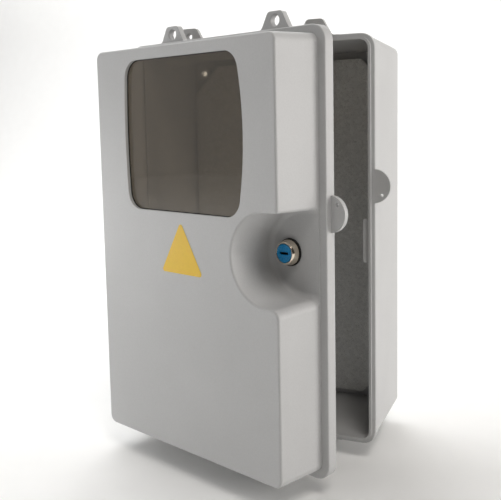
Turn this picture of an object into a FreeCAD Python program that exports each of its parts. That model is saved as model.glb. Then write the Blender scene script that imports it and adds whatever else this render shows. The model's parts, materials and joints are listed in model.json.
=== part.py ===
import FreeCAD, Part
import math
import os
from FreeCAD import Vector

# Electric meter box: a moulded base for the wall, and a deep moulded door with a smoked window
# and a cam lock in a scooped recess. Millimetres. The wall is the plane y = 0, the front faces -Y,
# +X is right and +Z is up, and the origin is the centre of the back face.

# Outline of both rims
CASE_WIDTH = 256.0
CASE_HEIGHT = 400.0
RIM_CORNER_R = 14.5
RIM_EDGE_R = 1.2
WALL = 3.0

# Base box
BASE_DEPTH = 110.5
BACK_INSET = 5.3
BACK_CORNER_R = 8.0
BACK_EDGE_R = 4.0
BASE_RIM_STEP = 2.0
BASE_RIM_DEPTH = 8.0
BASE_RIM_WALL = 4.2
LIP_HEIGHT = 3.0
LIP_WALL = 2.5

# Door
PARTING_GAP = 0.3
DOOR_RIM_DEPTH = 10.8
SHELL_INSET = 7.6
SHELL_DEPTH = 53.0
SHELL_DRAFT = 1.9
SHELL_CORNER_R = 8.0
FACE_EDGE_R = 2.0
SKIRT_WALL = 3.0
RIB_INSET = 7.8
RIB_WALL = 2.0
RIB_HEIGHT = 5.0

# Scooped recess around the lock, open to the right, whose wall passes the pane's corner
SCOOP_INSET = 23.0
SCOOP_PANE_GAP = 3.0
SCOOP_R = 40.5
SCOOP_DRAFT = 1.2
SCOOP_FLOOR_RISE = 1.2
SCOOP_FLOOR_R = 5.0
SCOOP_FOOT_R = 8.0
SCOOP_HEAD_R = 3.0

# Window, set in from the case's edges
WINDOW_LEFT_INSET = 52.5
WINDOW_RIGHT_INSET = 46.0
WINDOW_TOP_INSET = 20.7
WINDOW_HEIGHT = 141.8
WINDOW_LEFT_BOW = 3.0
WINDOW_RIGHT_BOW = 8.0
WINDOW_CORNER_R = 17.0
PANE_OVERLAP = 4.0
PANE_THICKNESS = 3.0
PANE_SEAL = 1.0
SEAL_SHOWS = 0.5
CLAMP_BOSS_R = 3.6
CLAMP_BOSS_GAP = 1.3
CLAMP_ANGLE = 40.0
CLAMP_WASHER_R = 6.6
CLAMP_WASHER_THICKNESS = 1.2
CLAMP_SCREW_R = 1.75
CLAMP_SCREW_DEPTH = 3.2
CLAMP_SCREW_HEAD_R = 3.4
CLAMP_SCREW_HEAD_HEIGHT = 2.1

# Foam strip in the door rim
FOAM_CLEARANCE = 0.4
FOAM_WIDTH = 4.0

# Sealing lugs and seal ears
LUG_INSET = 59.5
LUG_HEIGHT = 16.0
LUG_TOP_HALF = 8.0
LUG_FOOT_HALF = 16.5
LUG_TOP_R = 4.0
LUG_ROOT_R = 6.0
DOOR_LUG_HOLE_R = 5.0
BASE_LUG_HOLE_R = 2.7
LUG_HOLE_BEVEL = 0.8
LUG_HOLE_RISE = 8.0
BASE_LUG_THICKNESS = 5.0
DOOR_LUG_THICKNESS = 6.0
EAR_R = 16.2
EAR_REACH = 14.6
EAR_THICKNESS = 4.5
EAR_HOLE_R = 1.6
EAR_HOLE_REACH = 6.4
BASE_EAR_RISE = 52.7
DOOR_EAR_RISE = 35.6

# Hinges on the left
HINGE_OUT = 5.2
HINGE_INSET = 70.0
BARREL_R = 4.5
BASE_KNUCKLE = 12.0
DOOR_KNUCKLE = 20.0
KNUCKLE_GAP = 0.4
ARM_DEPTH = 8.0
PIN_R = 2.0
PIN_RUNNING_GAP = 0.05
PIN_HEAD_R = 3.4
PIN_HEAD_HEIGHT = 1.6
OPEN_ANGLE = 18.3

# Mounting plate
PLATE_SIDE_GAP = 3.7
PLATE_END_GAP = 7.7
PLATE_CHAMFER = 31.0
PLATE_THICKNESS = 1.5
PLATE_STANDOFF = 6.7
PLATE_SCREW_SIDE_INSET = 70.0
PLATE_SCREW_END_INSET = 12.0
PLATE_BOSS_R = 6.0
PLATE_SCREW_DEPTH = 6.0
SCREW_TIP_GAP = 0.4
PLATE_SCREW_R = 2.0
PLATE_SCREW_HEAD_R = 4.0
PLATE_SCREW_HEAD_HEIGHT = 2.6
PLATE_WASHER_R = 5.0
PLATE_WASHER_THICKNESS = 0.8
HOLE_CLEARANCE = 0.3

# Pan heads: flat part of the crown and straight part of the side, as shares of the head
CROWN_SHARE = 0.7
SIDE_SHARE = 0.5

# Wall fixing holes and cable knock-outs
FIXING_SIDE_INSET = 21.0
FIXING_END_INSET = 23.0
FIXING_HOLE_R = 3.2
FIXING_BOSS_R = 8.0
FIXING_BOSS_HEIGHT = 3.0
KNOCKOUT_R = (14.0, 18.0, 14.0)
KNOCKOUT_PITCH = 58.0
KNOCKOUT_GROOVE = 1.4
KNOCKOUT_SKIN = 1.2

# Keeper tab for the cam
KEEPER_REACH = 6.3
KEEPER_HEIGHT = 43.0
KEEPER_THICKNESS = 3.2
KEEPER_SETBACK = 0.9

# Cam lock
LOCK_INSET = 39.7
LOCK_DROP = 0.6
SEAL_RING_R = 12.5
SEAL_RING_THICKNESS = 1.6
BEZEL_FOOT_R = 11.7
BEZEL_FRONT_R = 9.9
BEZEL_HEIGHT = 7.2
BEZEL_EDGE = 0.5
CAP_R = 8.1
CAP_THICKNESS = 1.6
CAP_PROUD = 0.3
CAP_GAP = 0.3
BARREL_THREAD_R = 9.4
BARREL_FLAT_SHARE = 0.88
BARREL_END_GAP = 0.7
PLUG_R = 6.0
PLUG_GAP = 0.05
PLUG_SHOULDER_R = 7.4
PLUG_SHOULDER_THICKNESS = 0.5
KEYHOLE_WIDTH = 9.6
KEYHOLE_HEIGHT = 2.3
WAFER_COUNT = 5
WAFER_THICKNESS = 1.0
WAFER_PITCH = 2.2
WAFER_WIDTH = 5.0
WAFER_LENGTH = 10.4
WAFER_PLAY = 0.06
NUT_FLATS = 24.0
NUT_THICKNESS = 4.0
NUT_CHAMFER_SHARE = 0.6
CAM_KEEPER_GAP = 0.6
CAM_THICKNESS = 2.4
CAM_CATCH = 2.3
CAM_TAIL = 9.0
CAM_WIDTH = 15.0
SHANK_SIDE = 7.0
SHANK_LENGTH = 2.2
SHANK_GAP = 0.1
CAM_SCREW_R = 2.0
CAM_SCREW_HEAD_R = 4.2
CAM_SCREW_HEAD_HEIGHT = 3.0
CAM_SCREW_DEPTH = 7.0
CAM_WASHER_R = 5.2
CAM_WASHER_THICKNESS = 0.8

# Places worked out from the sizes above
WINDOW_WIDTH = CASE_WIDTH - WINDOW_LEFT_INSET - WINDOW_RIGHT_INSET
WINDOW_X = (WINDOW_LEFT_INSET - WINDOW_RIGHT_INSET) / 2
WINDOW_Z = CASE_HEIGHT / 2 - WINDOW_TOP_INSET - WINDOW_HEIGHT / 2
SCOOP_X = CASE_WIDTH / 2 - SCOOP_INSET
LEFT_LEAN = math.atan(2 * WINDOW_LEFT_BOW / WINDOW_HEIGHT)
RIGHT_LEAN = math.atan(2 * WINDOW_RIGHT_BOW / WINDOW_HEIGHT)
LEFT_CORNER_IN = WINDOW_LEFT_BOW + WINDOW_CORNER_R * math.tan(math.pi / 4 - LEFT_LEAN)
RIGHT_CORNER_IN = WINDOW_RIGHT_BOW + WINDOW_CORNER_R * math.tan(math.pi / 4 - RIGHT_LEAN)
LEFT_CORNER_X = WINDOW_X - WINDOW_WIDTH / 2 + LEFT_CORNER_IN
RIGHT_CORNER_X = WINDOW_X + WINDOW_WIDTH / 2 - RIGHT_CORNER_IN
CORNER_RISE = WINDOW_HEIGHT / 2 - WINDOW_CORNER_R
SCOOP_TO_CORNER = SCOOP_R + WALL + SCOOP_PANE_GAP + PANE_OVERLAP + WINDOW_CORNER_R
SCOOP_Z = WINDOW_Z - CORNER_RISE - math.sqrt(SCOOP_TO_CORNER ** 2 - (SCOOP_X - RIGHT_CORNER_X) ** 2)
LOCK_X = CASE_WIDTH / 2 - LOCK_INSET
LOCK_Z = SCOOP_Z - LOCK_DROP
LUG_X = CASE_WIDTH / 2 - LUG_INSET
BASE_EAR_Z = LOCK_Z + BASE_EAR_RISE
DOOR_EAR_Z = LOCK_Z + DOOR_EAR_RISE
HINGE_Z = CASE_HEIGHT / 2 - HINGE_INSET
PLATE_HALF_WIDTH = CASE_WIDTH / 2 - BACK_INSET - WALL - PLATE_SIDE_GAP
PLATE_HALF_HEIGHT = CASE_HEIGHT / 2 - BACK_INSET - WALL - PLATE_END_GAP
PLATE_SCREW_X = PLATE_HALF_WIDTH - PLATE_SCREW_SIDE_INSET
PLATE_SCREW_Z = PLATE_HALF_HEIGHT - PLATE_SCREW_END_INSET
FIXING_X = CASE_WIDTH / 2 - FIXING_SIDE_INSET
FIXING_Z = CASE_HEIGHT / 2 - FIXING_END_INSET
LEDGE_Y = -BASE_DEPTH
PARTING_Y = LEDGE_Y - PARTING_GAP
RIM_Y = PARTING_Y - DOOR_RIM_DEPTH
FACE_Y = RIM_Y - SHELL_DEPTH
FLANGE_BACK_Y = RIM_Y + SKIRT_WALL
FACE_BACK_Y = FACE_Y + WALL
LIP_OUTER = BASE_RIM_STEP + BASE_RIM_WALL - LIP_WALL
LIP_INNER = BASE_RIM_STEP + BASE_RIM_WALL
SCOOP_FLOOR_Y = RIM_Y - SCOOP_FLOOR_RISE
SCOOP_BACK_Y = SCOOP_FLOOR_Y + WALL
PLATE_BACK_Y = -WALL - PLATE_STANDOFF
PLATE_FRONT_Y = PLATE_BACK_Y - PLATE_THICKNESS
PANE_FRONT_Y = FACE_BACK_Y + PANE_SEAL
PANE_BACK_Y = PANE_FRONT_Y + PANE_THICKNESS
HINGE_X = -CASE_WIDTH / 2 - HINGE_OUT
HINGE_Y = (LEDGE_Y + PARTING_Y) / 2
KEEPER_FRONT_Y = LEDGE_Y + KEEPER_SETBACK
KEEPER_BACK_Y = KEEPER_FRONT_Y + KEEPER_THICKNESS
CAM_FRONT_Y = KEEPER_BACK_Y + CAM_KEEPER_GAP
CAM_BACK_Y = CAM_FRONT_Y + CAM_THICKNESS
BARREL_END_Y = CAM_FRONT_Y - BARREL_END_GAP
BEZEL_FOOT_Y = SCOOP_FLOOR_Y - SEAL_RING_THICKNESS
BEZEL_FRONT_Y = BEZEL_FOOT_Y - BEZEL_HEIGHT
CAP_FRONT_Y = BEZEL_FRONT_Y - CAP_PROUD
CAP_BACK_Y = CAP_FRONT_Y + CAP_THICKNESS
CAM_REACH = LOCK_INSET - LIP_INNER - KEEPER_REACH + CAM_CATCH
OVERCUT = 5.0


# Profiles and simple solids

def tapered(inset_a, y_a, inset_b, y_b, radius):
    """Solid between two case outlines at two depths, each drawn in by an inset, with round corners."""
    w_a = CASE_WIDTH / 2 - inset_a
    h_a = CASE_HEIGHT / 2 - inset_a
    w_b = CASE_WIDTH / 2 - inset_b
    h_b = CASE_HEIGHT / 2 - inset_b
    body = Part.makeWedge(-w_a, y_a, -h_a, -h_b, -w_b, w_a, y_b, h_a, h_b, w_b)
    middle = (y_a + y_b) / 2
    corners = [e for e in body.Edges if abs(e.CenterOfMass.y - middle) < 1e-6 * abs(y_b - y_a)]
    return body.makeFillet(radius, corners)


def band(outer_inset, inner_inset, y_a, y_b):
    """Closed strip that runs round the case between two insets."""
    outer = tapered(outer_inset, y_a, outer_inset, y_b, RIM_CORNER_R - outer_inset)
    inner = tapered(inner_inset, y_a, inner_inset, y_b, RIM_CORNER_R - inner_inset)
    return outer.cut(inner)


def prism_y(points, y_a, y_b):
    """Prism of an (x, z) polygon between two depths."""
    ring = [Vector(x, y_a, z) for x, z in points]
    face = Part.Face(Part.makePolygon(ring + ring[:1]))
    return face.extrude(Vector(0, y_b - y_a, 0))


def disc_y(radius, x, z, y_a, y_b):
    """Cylinder along Y between two depths."""
    return Part.makeCylinder(radius, y_b - y_a, Vector(x, y_a, z), Vector(0, 1, 0))


def ring_y(outer_r, inner_r, x, z, y_a, y_b):
    """Flat ring along Y between two depths."""
    return disc_y(outer_r, x, z, y_a, y_b).cut(disc_y(inner_r, x, z, y_a, y_b))


def block(x_a, x_b, y_a, y_b, z_a, z_b):
    """Rectangular block between pairs of coordinates."""
    return Part.makeBox(x_b - x_a, y_b - y_a, z_b - z_a, Vector(x_a, y_a, z_a))


def edges_at(shape, y):
    """Edges that lie in the plane of a depth."""
    return [e for e in shape.Edges
            if e.BoundBox.YLength < 1e-6 and all(abs(v.Point.y - y) < 1e-6 for v in e.Vertexes)]


def edges_along(shape, direction, test):
    """Straight edges parallel to a direction whose middle passes a test."""
    found = []
    for edge in shape.Edges:
        if edge.Curve.TypeId != "Part::GeomLine":
            continue
        span = edge.Vertexes[-1].Point - edge.Vertexes[0].Point
        span.normalize()
        if abs(abs(span.dot(direction)) - 1) < 1e-6 and test(edge.CenterOfMass):
            found.append(edge)
    return found


def fuse_all(shapes):
    """One solid from several."""
    return shapes[0].multiFuse(shapes[1:]).removeSplitter()


def mirrored_pairs(x, z):
    """The four points (+-x, +-z)."""
    return [(sx * x, sz * z) for sx in (1, -1) for sz in (1, -1)]


# Sealing lugs, seal ears and hinge knuckles, which both mouldings carry

def lug(x, side, y_a, y_b):
    """Trapezoid lug with a flared root, above the top rim or below the bottom rim."""
    root = CASE_HEIGHT / 2
    foot = LUG_FOOT_HALF + LUG_ROOT_R + 2
    sunk = BASE_RIM_WALL / 2
    outline = [(-foot, -sunk), (-foot, 0), (-LUG_FOOT_HALF, 0), (-LUG_TOP_HALF, LUG_HEIGHT),
               (LUG_TOP_HALF, LUG_HEIGHT), (LUG_FOOT_HALF, 0), (foot, 0), (foot, -sunk)]
    body = prism_y([(x + dx, side * (root + dz)) for dx, dz in outline], y_a, y_b)
    along = Vector(0, 1, 0)
    tops = edges_along(body, along, lambda p: abs(p.z) > root + LUG_HEIGHT / 2)
    body = body.makeFillet(LUG_TOP_R, tops)
    roots = edges_along(body, along, lambda p: abs(abs(p.x - x) - LUG_FOOT_HALF) < 0.1)
    body = body.makeFillet(LUG_ROOT_R, roots)
    return body


def lug_holes(radius, y_a, y_b):
    """Cutters for the four lug holes of one moulding, bevelled at the front."""
    holes = []
    for x, z in mirrored_pairs(LUG_X, CASE_HEIGHT / 2 + LUG_HOLE_RISE):
        bevel = Part.makeCone(radius + LUG_HOLE_BEVEL, radius, LUG_HOLE_BEVEL, Vector(x, y_a, z),
                              Vector(0, 1, 0))
        holes += [disc_y(radius, x, z, y_a - OVERCUT, y_b + OVERCUT), bevel]
    return holes


def lugs(y_a, y_b):
    """The four lugs of one moulding."""
    return [lug(x, side, y_a, y_b) for x in (LUG_X, -LUG_X) for side in (1, -1)]


def seal_ear(z, y_a, y_b):
    """Half-disc ear on the right-hand rim."""
    edge = CASE_WIDTH / 2
    disc = disc_y(EAR_R, edge + EAR_REACH - EAR_R, z, y_a, y_b)
    keep = block(edge - SKIRT_WALL / 2, edge + EAR_REACH + 1, y_a, y_b, z - EAR_R, z + EAR_R)
    return disc.common(keep)


def seal_hole(y_a, y_b):
    """Cutter for the sealing wire's hole, in line through both ears when the door is closed."""
    z = (BASE_EAR_Z + DOOR_EAR_Z) / 2
    return disc_y(EAR_HOLE_R, CASE_WIDTH / 2 + EAR_HOLE_REACH, z, y_a - OVERCUT, y_b + OVERCUT)


def knuckle(z_a, z_b, arm_side, bore_r):
    """Hinge barrel on an arm that runs to a rim: arm_side is +1 for the base, -1 for the door."""
    barrel = Part.makeCylinder(BARREL_R, z_b - z_a, Vector(HINGE_X, HINGE_Y, z_a))
    near = HINGE_Y + arm_side * PARTING_GAP * 1.5
    far = HINGE_Y + arm_side * ARM_DEPTH
    rim = -CASE_WIDTH / 2 + BASE_RIM_STEP + 1
    tangent = HINGE_Y + arm_side * BARREL_R
    points = [(HINGE_X, near), (rim, near), (rim, far), (HINGE_X + BARREL_R / 2, far), (HINGE_X, tangent)]
    ring = [Vector(x, y, z_a) for x, y in points]
    arm = Part.Face(Part.makePolygon(ring + ring[:1])).extrude(Vector(0, 0, z_b - z_a))
    bore = Part.makeCylinder(bore_r, z_b - z_a + 2, Vector(HINGE_X, HINGE_Y, z_a - 1))
    return barrel.fuse(arm).cut(bore)


def base_knuckles():
    """Two knuckles above and below the door's knuckle, at each hinge."""
    out = []
    for side in (1, -1):
        centre = side * HINGE_Z
        near = DOOR_KNUCKLE / 2 + KNUCKLE_GAP
        out.append(knuckle(centre + near, centre + near + BASE_KNUCKLE, 1, PIN_R))
        out.append(knuckle(centre - near - BASE_KNUCKLE, centre - near, 1, PIN_R))
    return out


def door_knuckles():
    """The door's middle knuckle at each hinge."""
    half = DOOR_KNUCKLE / 2
    return [knuckle(s * HINGE_Z - half, s * HINGE_Z + half, -1, PIN_R + PIN_RUNNING_GAP) for s in (1, -1)]


# Base box and what it carries

def base_shell():
    """Drafted open box with a round back edge."""
    body = tapered(BASE_RIM_STEP, LEDGE_Y, BACK_INSET, 0, BACK_CORNER_R)
    body = body.makeFillet(BACK_EDGE_R, edges_at(body, 0))
    rim = tapered(0, LEDGE_Y, 0, LEDGE_Y + BASE_RIM_DEPTH, RIM_CORNER_R)
    rim = rim.makeFillet(RIM_EDGE_R, edges_at(rim, LEDGE_Y) + edges_at(rim, LEDGE_Y + BASE_RIM_DEPTH))
    lip = band(LIP_OUTER, LIP_INNER, LEDGE_Y - LIP_HEIGHT, LEDGE_Y)
    slope = (BACK_INSET + WALL - LIP_INNER) / (BASE_DEPTH - WALL)
    mouth = OVERCUT + LIP_HEIGHT
    cavity = tapered(LIP_INNER - slope * mouth, LEDGE_Y - mouth, BACK_INSET + WALL, -WALL,
                     RIM_CORNER_R - LIP_INNER)
    return fuse_all([body, rim, lip]).cut(cavity)


def keeper_tab():
    """Tab on the right-hand inner wall that the cam turns behind."""
    wall_x = CASE_WIDTH / 2 - LIP_INNER
    tab = block(wall_x - KEEPER_REACH, wall_x + LIP_WALL / 2, KEEPER_FRONT_Y, KEEPER_BACK_Y,
                LOCK_Z - KEEPER_HEIGHT / 2, LOCK_Z + KEEPER_HEIGHT / 2)
    corners = edges_along(tab, Vector(0, 1, 0), lambda p: p.x < wall_x - KEEPER_REACH / 2)
    return tab.makeFillet(KEEPER_REACH / 3, corners)


def knockout_cutters():
    """Ring grooves in the bottom wall, which leave a skin that is knocked out for a cable."""
    y = LEDGE_Y / 2
    share = 1 - y / LEDGE_Y
    wall_z = -CASE_HEIGHT / 2 + BASE_RIM_STEP + (BACK_INSET - BASE_RIM_STEP) * share
    inner_z = -CASE_HEIGHT / 2 + LIP_INNER + (BACK_INSET + WALL - LIP_INNER) * share
    top = inner_z - KNOCKOUT_SKIN
    out = []
    for i, radius in enumerate(KNOCKOUT_R):
        x = (i - (len(KNOCKOUT_R) - 1) / 2) * KNOCKOUT_PITCH
        start = Vector(x, y, wall_z - OVERCUT)
        outer = Part.makeCylinder(radius, top - start.z, start)
        out.append(outer.cut(Part.makeCylinder(radius - KNOCKOUT_GROOVE, top - start.z, start)))
    return out


def back_box():
    """The moulded base with everything that is part of it."""
    plate_points = mirrored_pairs(PLATE_SCREW_X, PLATE_SCREW_Z)
    fixing_points = mirrored_pairs(FIXING_X, FIXING_Z)
    bosses = [disc_y(PLATE_BOSS_R, x, z, PLATE_BACK_Y, -WALL / 2) for x, z in plate_points]
    bosses += [disc_y(FIXING_BOSS_R, x, z, -WALL - FIXING_BOSS_HEIGHT, -WALL / 2) for x, z in fixing_points]
    added = lugs(LEDGE_Y, LEDGE_Y + BASE_LUG_THICKNESS) + bosses + base_knuckles()
    added += [keeper_tab(), seal_ear(BASE_EAR_Z, LEDGE_Y, LEDGE_Y + EAR_THICKNESS)]
    body = fuse_all([base_shell()] + added)
    cutters = lug_holes(BASE_LUG_HOLE_R, LEDGE_Y, LEDGE_Y + BASE_LUG_THICKNESS)
    cutters.append(seal_hole(LEDGE_Y, LEDGE_Y + EAR_THICKNESS))
    cutters += [disc_y(FIXING_HOLE_R, x, z, -WALL - FIXING_BOSS_HEIGHT - 1, 1) for x, z in fixing_points]
    cutters += [disc_y(PLATE_SCREW_R, x, z, PLATE_BACK_Y - 1, PLATE_BACK_Y + PLATE_SCREW_DEPTH)
                for x, z in plate_points]
    return body.cut(cutters + knockout_cutters())


def mounting_plate():
    """Sheet with chamfered corners and four screw holes."""
    w = PLATE_HALF_WIDTH
    h = PLATE_HALF_HEIGHT
    c = PLATE_CHAMFER
    points = [(w, h - c), (w - c, h), (c - w, h), (-w, h - c),
              (-w, c - h), (c - w, -h), (w - c, -h), (w, c - h)]
    sheet = prism_y(points, PLATE_FRONT_Y, PLATE_BACK_Y)
    hole_r = PLATE_SCREW_R + HOLE_CLEARANCE
    holes = [disc_y(hole_r, x, z, PLATE_FRONT_Y - 1, PLATE_BACK_Y + 1)
             for x, z in mirrored_pairs(PLATE_SCREW_X, PLATE_SCREW_Z)]
    return sheet.cut(holes)


def pan_screw(x, z, head_y, out, head_r, head_height, shank_r, length):
    """Pan-head screw: head_y is the seat of its head, and out is -1 when the head faces the front."""
    top = head_y + out * head_height
    shoulder = head_y + out * head_height * SIDE_SHARE
    profile = [(0, top), (head_r * CROWN_SHARE, top), (head_r, shoulder), (head_r, head_y),
               (shank_r, head_y), (shank_r, head_y - out * length), (0, head_y - out * length)]
    ring = [Vector(r, y, 0) for r, y in profile]
    screw = Part.Face(Part.makePolygon(ring + ring[:1])).revolve(Vector(0, 0, 0), Vector(0, 1, 0), 360)
    screw.translate(Vector(x, 0, z))
    return screw


def plate_fasteners():
    """Washers and screws of the mounting plate, four of each."""
    points = mirrored_pairs(PLATE_SCREW_X, PLATE_SCREW_Z)
    washer_y = PLATE_FRONT_Y - PLATE_WASHER_THICKNESS
    reach = PLATE_WASHER_THICKNESS + PLATE_THICKNESS + PLATE_SCREW_DEPTH - SCREW_TIP_GAP
    washers = [ring_y(PLATE_WASHER_R, PLATE_SCREW_R + HOLE_CLEARANCE, x, z, washer_y, PLATE_FRONT_Y)
               for x, z in points]
    screws = [pan_screw(x, z, washer_y, -1, PLATE_SCREW_HEAD_R, PLATE_SCREW_HEAD_HEIGHT, PLATE_SCREW_R,
                        reach)
              for x, z in points]
    return washers, screws


def hinge_pin(side):
    """Headed pin through the three knuckles of one hinge."""
    half = DOOR_KNUCKLE / 2 + KNUCKLE_GAP + BASE_KNUCKLE
    foot = Vector(HINGE_X, HINGE_Y, side * HINGE_Z - half)
    pin = Part.makeCylinder(PIN_R, 2 * half, foot)
    head = Part.makeCylinder(PIN_HEAD_R, PIN_HEAD_HEIGHT, foot + Vector(0, 0, 2 * half))
    return pin.fuse(head)


# Door, drawn closed

def scoop(grow, floor_y, front_y):
    """The recess as a solid: a drafted half round that runs out to the right between flat walls."""
    floor_r = SCOOP_R - SCOOP_DRAFT + grow
    front_r = floor_r + SCOOP_DRAFT * (floor_y - front_y) / SHELL_DEPTH
    depth = floor_y - front_y
    round_end = Part.makeCone(floor_r, front_r, depth, Vector(SCOOP_X, floor_y, SCOOP_Z), Vector(0, -1, 0))
    reach = CASE_WIDTH / 2 + OVERCUT - SCOOP_X
    run_out = Part.makeWedge(0, -depth, -front_r, -floor_r, 0, reach, 0, front_r, floor_r, reach)
    run_out.translate(Vector(SCOOP_X, floor_y, SCOOP_Z))
    return round_end.fuse(run_out).removeSplitter()


def recessed(body, grow, floor_y):
    """Cut the recess into a body and round the two edges where it runs out of the side wall."""
    body = body.cut(scoop(grow, floor_y, FACE_Y - OVERCUT))
    side_x = CASE_WIDTH / 2 - SHELL_INSET - grow
    for side, radius in ((-1, SCOOP_FOOT_R), (1, SCOOP_HEAD_R)):
        if radius <= grow:
            continue
        z = SCOOP_Z + side * (SCOOP_R + grow)
        ends = [e for e in body.Edges
                if abs(e.CenterOfMass.x - side_x) < 2 * SHELL_DRAFT
                and abs(e.CenterOfMass.z - z) < 2 * SCOOP_DRAFT
                and e.BoundBox.YLength > SHELL_DEPTH / 2]
        body = body.makeFillet(radius - grow, ends)
    floor = [e for e in edges_at(body, floor_y) if e.CenterOfMass.x < side_x - 1]
    return body.makeFillet(SCOOP_FLOOR_R + grow, floor)


def window_solid(grow, y_a, y_b):
    """The window's outline, with bowed sides and round corners, as a solid."""
    half_w = WINDOW_WIDTH / 2 + grow
    half_h = WINDOW_HEIGHT / 2 + grow
    left = WINDOW_LEFT_BOW - half_w
    right = half_w - WINDOW_RIGHT_BOW

    def at(x, z):
        return Vector(WINDOW_X + x, y_a, WINDOW_Z + z)

    edges = [
        Part.makeLine(at(left, half_h), at(right, half_h)),
        Part.Arc(at(right, half_h), at(half_w, 0), at(right, -half_h)).toShape(),
        Part.makeLine(at(right, -half_h), at(left, -half_h)),
        Part.Arc(at(left, -half_h), at(-half_w, 0), at(left, half_h)).toShape(),
    ]
    body = Part.Face(Part.Wire(edges)).extrude(Vector(0, y_b - y_a, 0))
    return body.makeFillet(WINDOW_CORNER_R + grow, edges_along(body, Vector(0, 1, 0), lambda p: True))


def clamp_points():
    """Where the washers that hold the pane are screwed, outside the pane's outline."""
    outside = PANE_OVERLAP + CLAMP_BOSS_GAP + CLAMP_BOSS_R
    reach = WINDOW_CORNER_R + outside
    run = reach * math.cos(math.radians(CLAMP_ANGLE))
    left = LEFT_CORNER_X - run
    right = RIGHT_CORNER_X + run
    rise = CORNER_RISE + reach * math.sin(math.radians(CLAMP_ANGLE))
    bottom = WINDOW_Z - WINDOW_HEIGHT / 2 - outside
    return [(left, WINDOW_Z + rise), (right, WINDOW_Z + rise), (left, WINDOW_Z - rise),
            (WINDOW_X + WINDOW_WIDTH / 6, bottom)]


def lock_hole():
    """Round hole with two flats for the lock's barrel."""
    return lock_barrel(BARREL_THREAD_R + HOLE_CLEARANCE, SCOOP_FLOOR_Y - OVERCUT, SCOOP_BACK_Y + OVERCUT)


def lock_barrel(radius, y_a, y_b):
    """Cylinder with two flats."""
    flat = radius * BARREL_FLAT_SHARE
    keep = block(LOCK_X - radius, LOCK_X + radius, y_a, y_b, LOCK_Z - flat, LOCK_Z + flat)
    return disc_y(radius, LOCK_X, LOCK_Z, y_a, y_b).common(keep)


def door_shell():
    """Deep shell on a flanged rim, with the recess moulded into its right-hand side."""
    face_inset = SHELL_INSET + SHELL_DRAFT
    outer = recessed(tapered(face_inset, FACE_Y, SHELL_INSET, RIM_Y, SHELL_CORNER_R), 0, SCOOP_FLOOR_Y)
    outer = outer.makeFillet(FACE_EDGE_R, edges_at(outer, FACE_Y))
    rim = tapered(0, RIM_Y, 0, PARTING_Y, RIM_CORNER_R)
    rim = rim.makeFillet(RIM_EDGE_R, edges_at(rim, RIM_Y))
    hollow = tapered(face_inset + WALL, FACE_BACK_Y, SHELL_INSET + WALL, FLANGE_BACK_Y,
                     SHELL_CORNER_R - WALL)
    hollow = recessed(hollow, WALL, SCOOP_BACK_Y)
    under = tapered(SKIRT_WALL, FLANGE_BACK_Y, SKIRT_WALL, PARTING_Y + OVERCUT, RIM_CORNER_R - SKIRT_WALL)
    rib = band(RIB_INSET, RIB_INSET + RIB_WALL, FLANGE_BACK_Y, FLANGE_BACK_Y + RIB_HEIGHT)
    return fuse_all([outer.fuse(rim).cut([hollow, under]), rib])


def door_cover():
    """The moulded door with everything that is part of it."""
    bosses = [disc_y(CLAMP_BOSS_R, x, z, FACE_Y + WALL / 2, PANE_BACK_Y) for x, z in clamp_points()]
    added = lugs(PARTING_Y - DOOR_LUG_THICKNESS, PARTING_Y) + door_knuckles() + bosses
    added.append(seal_ear(DOOR_EAR_Z, PARTING_Y - EAR_THICKNESS, PARTING_Y))
    body = fuse_all([door_shell()] + added)
    under = tapered(SKIRT_WALL, FLANGE_BACK_Y + RIB_HEIGHT, SKIRT_WALL, PARTING_Y + OVERCUT,
                    RIM_CORNER_R - SKIRT_WALL)
    cutters = lug_holes(DOOR_LUG_HOLE_R, PARTING_Y - DOOR_LUG_THICKNESS, PARTING_Y)
    cutters.append(seal_hole(PARTING_Y - EAR_THICKNESS, PARTING_Y))
    cutters += [window_solid(0, FACE_Y - OVERCUT, FACE_BACK_Y + OVERCUT), lock_hole(), under]
    cutters += [disc_y(CLAMP_SCREW_R, x, z, PANE_BACK_Y - CLAMP_SCREW_DEPTH, PANE_BACK_Y + 1)
                for x, z in clamp_points()]
    return body.cut(cutters)


def window_parts():
    """Pane, sealing strip, clamping washers and their screws."""
    pane = window_solid(PANE_OVERLAP, PANE_FRONT_Y, PANE_BACK_Y)
    seal = window_solid(PANE_OVERLAP, FACE_BACK_Y, PANE_FRONT_Y)
    seal = seal.cut(window_solid(-SEAL_SHOWS, FACE_BACK_Y - 1, PANE_FRONT_Y + 1))
    washer_y = PANE_BACK_Y + CLAMP_WASHER_THICKNESS
    hole_r = CLAMP_SCREW_R + HOLE_CLEARANCE
    washers = [ring_y(CLAMP_WASHER_R, hole_r, x, z, PANE_BACK_Y, washer_y) for x, z in clamp_points()]
    length = CLAMP_WASHER_THICKNESS + CLAMP_SCREW_DEPTH - SCREW_TIP_GAP
    screws = [pan_screw(x, z, washer_y, 1, CLAMP_SCREW_HEAD_R, CLAMP_SCREW_HEAD_HEIGHT, CLAMP_SCREW_R,
                        length)
              for x, z in clamp_points()]
    return pane, seal, washers, screws


def door_gasket():
    """Foam strip under the rim, which the base's lip presses on."""
    inset = SKIRT_WALL + FOAM_CLEARANCE
    return band(inset, inset + FOAM_WIDTH, FLANGE_BACK_Y, LEDGE_Y - LIP_HEIGHT - PARTING_GAP)


# Cam lock, drawn in the closed door with its cam down

def revolved(profile):
    """Solid of revolution about the lock's axis from (radius, y) points."""
    ring = [Vector(LOCK_X + r, y, LOCK_Z) for r, y in profile]
    face = Part.Face(Part.makePolygon(ring + ring[:1]))
    return face.revolve(Vector(LOCK_X, 0, LOCK_Z), Vector(0, 1, 0), 360)


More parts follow.
